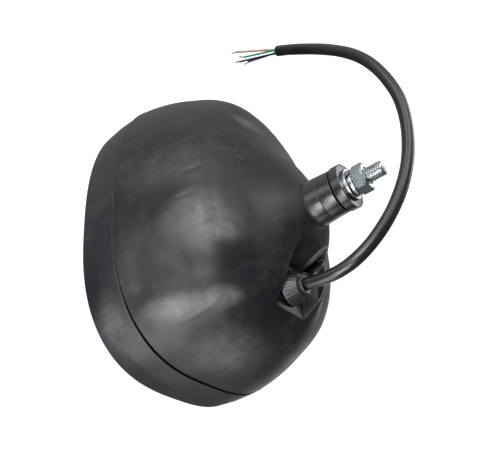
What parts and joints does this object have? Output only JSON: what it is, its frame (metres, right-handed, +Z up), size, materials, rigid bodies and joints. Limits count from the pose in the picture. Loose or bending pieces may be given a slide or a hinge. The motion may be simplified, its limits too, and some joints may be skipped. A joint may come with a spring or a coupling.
{
  "type": "stud-mounted vehicle head lamp",
  "caption": "Rubber-bodied head lamp held by a threaded rear stud between rubber bushes, with a sleeved cable leaving a pocket in its back.",
  "frame": {"origin": "on the stud's axis, in the middle of the groove between the upper bush and the cap washer, where the vehicle's bracket is clamped", "axes": "+Y runs rearward along the mounting stud, so the light shines towards -Y; +Z is up, the side of the housing where the cable leaves; +X is to the right when looking along +Y"},
  "size_m": [0.1672, 0.2018, 0.2734],
  "materials": {
    "housing_rubber": "satin moulded rubber with fine creases and dust",
    "rim_rubber": "satin moulded rubber",
    "seal_rubber": "matt rubber",
    "bush_rubber": "smooth glossy hard rubber",
    "grommet_rubber": "satin rubber",
    "sleeve_pvc": "soft satin sleeve",
    "core_brown": "glossy wire insulation",
    "core_green": "glossy wire insulation",
    "core_black": "glossy wire insulation",
    "core_blue": "glossy wire insulation",
    "copper_wire": "bare stranded copper",
    "zinc_steel": "bright zinc plating",
    "plated_steel": "plated sheet steel",
    "spring_wire": "bright spring wire",
    "reflector_mirror": "vacuum-coated mirror",
    "lens_glass": "fluted pressed glass",
    "bulb_glass": "clear bulb glass",
    "brass_tabs": "plain brass",
    "connector_plastic": "moulded plastic"
  },
  "bodies": {
    "bracket_hardware": {"upper_bush": "bush_rubber", "cap_washer": "bush_rubber", "flat_washer": "zinc_steel", "spring_washer": "zinc_steel"},
    "lamp": {"rubber_housing": "housing_rubber", "front_rim": "rim_rubber", "lens": "lens_glass", "lens_seal": "seal_rubber", "reflector": "reflector_mirror", "retaining_ring": "plated_steel", "bulb_glass": "bulb_glass", "bulb_base": "plated_steel", "bulb_tabs": "brass_tabs", "bulb_connector": "connector_plastic", "clip_bracket": "plated_steel", "pilot_holder": "seal_rubber", "pilot_bulb": "bulb_glass", "backing_plate": "plated_steel", "stud": "zinc_steel", "seat_ring": "seal_rubber", "lower_bush": "bush_rubber", "cable_grommet": "grommet_rubber", "cable_sleeve": "sleeve_pvc", "core_brown": "core_brown", "core_green": "core_green", "core_black": "core_black", "core_blue": "core_blue", "bare_wire_ends": "copper_wire", "lead_dip": "core_green", "lead_main": "core_brown", "lead_earth": "core_black", "lead_pilot": "core_blue"},
    "nut": {"hex_nut": "zinc_steel"},
    "clip": {"bulb_clip": "spring_wire"}
  },
  "joints": [
    {"name": "lamp_swivel", "type": "hinge", "parent": "bracket_hardware", "child": "lamp", "pos_m": [0, 0, 0], "axis": [0, 1, 0], "range_deg": [-180, 180]},
    {"name": "nut_turn", "type": "hinge", "parent": "lamp", "child": "nut", "pos_m": [0, 0.016, 0], "axis": [0, 1, 0], "continuous": true},
    {"name": "bulb_clip_swing", "type": "hinge", "parent": "lamp", "child": "clip", "pos_m": [0, -0.0862, 0.024], "axis": [1, 0, 0], "range_deg": [0, 40]}
  ]
}
